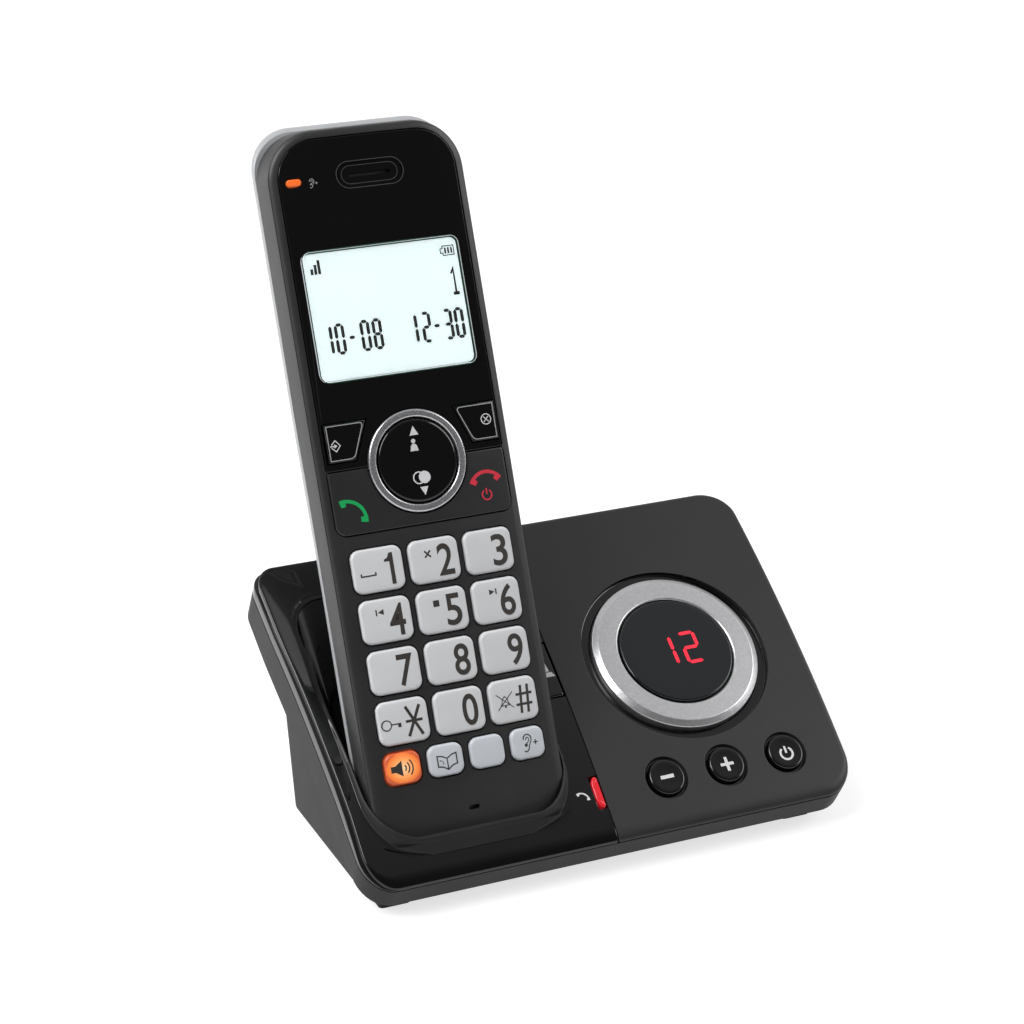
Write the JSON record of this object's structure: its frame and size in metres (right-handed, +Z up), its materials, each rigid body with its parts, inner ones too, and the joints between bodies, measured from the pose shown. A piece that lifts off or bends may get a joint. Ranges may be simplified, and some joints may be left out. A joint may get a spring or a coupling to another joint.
{
  "type": "answering machine with cordless handset",
  "caption": "Sloping answering machine base with a dial key and a charging cradle, and a cordless handset with display and keypad that stands in it.",
  "frame": {"origin": "middle of the bounding box's footprint, on the table the feet stand on", "axes": "+Z up, -Y the front that the user faces, +X to the user's right"},
  "size_m": [0.136, 0.0992, 0.1741],
  "materials": {
    "satin_black": "fine satin texture, near black",
    "gloss_black": "high gloss, black",
    "handset_black": "satin, black",
    "silver_grey": "satin, silver grey",
    "white_key": "satin, off-white",
    "grey_key": "satin, pale blue grey",
    "orange_key": "satin, backlit orange",
    "silver": "metallised, brushed, with a polished chamfer",
    "smoked_lens": "smoked, polished",
    "clear_lens": "clear, polished",
    "display": "backlit display panel",
    "red_lens": "clear red",
    "orange_lens": "clear orange",
    "board": "green circuit board",
    "rubber": "matt, black",
    "silicone": "matt, grey",
    "contact": "plated, bright",
    "cell": "steel can in a printed sleeve, bare of text",
    "speaker": "steel, matt"
  },
  "bodies": {
    "base": {"bottom_housing": "satin_black", "top_housing": "satin_black", "cradle_cover": "gloss_black", "foot_front_left": "rubber", "foot_front_right": "rubber", "foot_back_left": "rubber", "foot_back_right": "rubber", "dial_lens": "smoked_lens", "counter_display": "display", "base_board": "board", "base_key_pad": "silicone", "message_lamp": "red_lens", "line_jack": "satin_black", "power_inlet": "satin_black", "base_speaker": "speaker", "charge_contact_left": "contact", "charge_contact_right": "contact"},
    "handset": {"front_housing": "handset_black", "rear_housing": "silver_grey", "face_panel": "gloss_black", "display_lens": "clear_lens", "display_module": "display", "rocker_ring": "silver", "call_lamp": "orange_lens", "battery_cell_left": "cell", "battery_cell_right": "cell", "key_mat": "silicone", "handset_board": "board", "earpiece": "speaker", "ringer": "speaker", "microphone": "speaker", "handset_contact_left": "contact", "handset_contact_right": "contact"},
    "battery_door": {"battery_door": "silver_grey"},
    "dial_pad": {"dial_pad": "silicone"},
    "dial_ring": {"dial_ring": "silver"},
    "key_1": {"key_1": "white_key"},
    "key_2": {"key_2": "white_key"},
    "key_3": {"key_3": "white_key"},
    "key_4": {"key_4": "white_key"},
    "key_5": {"key_5": "white_key"},
    "key_6": {"key_6": "white_key"},
    "key_7": {"key_7": "white_key"},
    "key_8": {"key_8": "white_key"},
    "key_9": {"key_9": "white_key"},
    "key_star": {"key_star": "white_key"},
    "key_0": {"key_0": "white_key"},
    "key_hash": {"key_hash": "white_key"},
    "speaker_key": {"speaker_key": "orange_key"},
    "phonebook_key": {"phonebook_key": "grey_key"},
    "recall_key": {"recall_key": "grey_key"},
    "boost_key": {"boost_key": "grey_key"},
    "ok_key": {"ok_key": "gloss_black"},
    "clear_key": {"clear_key": "gloss_black"},
    "nav_rocker": {"nav_rocker": "gloss_black"},
    "call_plate": {"call_plate": "satin_black"},
    "volume_down_key": {"volume_down_key": "satin_black"},
    "volume_up_key": {"volume_up_key": "satin_black"},
    "power_key": {"power_key": "satin_black"},
    "page_key": {"page_key": "gloss_black"}
  },
  "joints": [
    {"name": "handset_lift", "type": "slide", "parent": "base", "child": "handset", "axis": [0, 0.4003, 0.9164], "range_m": [0, 0.1]},
    {"name": "battery_door_slide", "type": "slide", "parent": "handset", "child": "battery_door", "axis": [0, -0.4003, -0.9164], "range_m": [0, 0.008]},
    {"name": "key_1_press", "type": "slide", "parent": "handset", "child": "key_1", "axis": [0.071, 0.914, -0.3993], "range_m": [0, 0.0008], "stiffness_N_per_m": 400},
    {"name": "key_2_press", "type": "slide", "parent": "handset", "child": "key_2", "axis": [0, 0.9164, -0.4003], "range_m": [0, 0.0008], "stiffness_N_per_m": 400},
    {"name": "key_3_press", "type": "slide", "parent": "handset", "child": "key_3", "axis": [-0.071, 0.914, -0.3993], "range_m": [0, 0.0008], "stiffness_N_per_m": 400},
    {"name": "key_4_press", "type": "slide", "parent": "handset", "child": "key_4", "axis": [0.071, 0.914, -0.3993], "range_m": [0, 0.0008], "stiffness_N_per_m": 400},
    {"name": "key_5_press", "type": "slide", "parent": "handset", "child": "key_5", "axis": [0, 0.9164, -0.4003], "range_m": [0, 0.0008], "stiffness_N_per_m": 400},
    {"name": "key_6_press", "type": "slide", "parent": "handset", "child": "key_6", "axis": [-0.071, 0.914, -0.3993], "range_m": [0, 0.0008], "stiffness_N_per_m": 400},
    {"name": "key_7_press", "type": "slide", "parent": "handset", "child": "key_7", "axis": [0.071, 0.914, -0.3993], "range_m": [0, 0.0008], "stiffness_N_per_m": 400},
    {"name": "key_8_press", "type": "slide", "parent": "handset", "child": "key_8", "axis": [0, 0.9164, -0.4003], "range_m": [0, 0.0008], "stiffness_N_per_m": 400},
    {"name": "key_9_press", "type": "slide", "parent": "handset", "child": "key_9", "axis": [-0.071, 0.914, -0.3993], "range_m": [0, 0.0008], "stiffness_N_per_m": 400},
    {"name": "key_star_press", "type": "slide", "parent": "handset", "child": "key_star", "axis": [0.071, 0.914, -0.3993], "range_m": [0, 0.0008], "stiffness_N_per_m": 400},
    {"name": "key_0_press", "type": "slide", "parent": "handset", "child": "key_0", "axis": [0, 0.9164, -0.4003], "range_m": [0, 0.0008], "stiffness_N_per_m": 400},
    {"name": "key_hash_press", "type": "slide", "parent": "handset", "child": "key_hash", "axis": [-0.071, 0.914, -0.3993], "range_m": [0, 0.0008], "stiffness_N_per_m": 400},
    {"name": "speaker_key_press", "type": "slide", "parent": "handset", "child": "speaker_key", "axis": [0.0804, 0.9134, -0.3991], "range_m": [0, 0.0008], "stiffness_N_per_m": 400},
    {"name": "phonebook_key_press", "type": "slide", "parent": "handset", "child": "phonebook_key", "axis": [0.0269, 0.916, -0.4002], "range_m": [0, 0.0008], "stiffness_N_per_m": 400},
    {"name": "recall_key_press", "type": "slide", "parent": "handset", "child": "recall_key", "axis": [-0.0269, 0.916, -0.4002], "range_m": [0, 0.0008], "stiffness_N_per_m": 400},
    {"name": "boost_key_press", "type": "slide", "parent": "handset", "child": "boost_key", "axis": [-0.0804, 0.9134, -0.3991], "range_m": [0, 0.0008], "stiffness_N_per_m": 400},
    {"name": "ok_key_press", "type": "slide", "parent": "handset", "child": "ok_key", "axis": [0, 0.9164, -0.4003], "range_m": [0, 0.0008], "stiffness_N_per_m": 400},
    {"name": "clear_key_press", "type": "slide", "parent": "handset", "child": "clear_key", "axis": [0, 0.9164, -0.4003], "range_m": [0, 0.0008], "stiffness_N_per_m": 400},
    {"name": "nav_rocker_rock", "type": "hinge", "parent": "handset", "child": "nav_rocker", "pos_m": [-0.03375, -0.00335, 0.09839], "axis": [1, 0, 0], "range_deg": [-3, 3], "stiffness_Nm_per_rad": 0.8},
    {"name": "call_plate_rock", "type": "hinge", "parent": "handset", "child": "call_plate", "pos_m": [-0.03375, -0.00676, 0.09157], "axis": [0, 0.4003, 0.9164], "range_deg": [-1.6, 1.6], "stiffness_Nm_per_rad": 1.2},
    {"name": "dial_tilt_fore_aft", "type": "hinge", "parent": "base", "child": "dial_pad", "pos_m": [0.03335, -0.01066, 0.03498], "axis": [1, 0, 0], "range_deg": [-1.5, 1.5], "stiffness_Nm_per_rad": 2.5},
    {"name": "dial_tilt_sideways", "type": "hinge", "parent": "dial_pad", "child": "dial_ring", "pos_m": [0.03335, -0.01215, 0.03711], "axis": [0, 0.8196, 0.573], "range_deg": [-1.5, 1.5], "stiffness_Nm_per_rad": 2.5},
    {"name": "volume_down_key_press", "type": "slide", "parent": "base", "child": "volume_down_key", "axis": [0, 0.638, -0.77], "range_m": [0, 0.0008], "stiffness_N_per_m": 500},
    {"name": "volume_up_key_press", "type": "slide", "parent": "base", "child": "volume_up_key", "axis": [0, 0.638, -0.77], "range_m": [0, 0.0008], "stiffness_N_per_m": 500},
    {"name": "power_key_press", "type": "slide", "parent": "base", "child": "power_key", "axis": [0, 0.638, -0.77], "range_m": [0, 0.0008], "stiffness_N_per_m": 500},
    {"name": "page_key_press", "type": "slide", "parent": "base", "child": "page_key", "axis": [0, 0.509, -0.8607], "range_m": [0, 0.0008], "stiffness_N_per_m": 500}
  ]
}
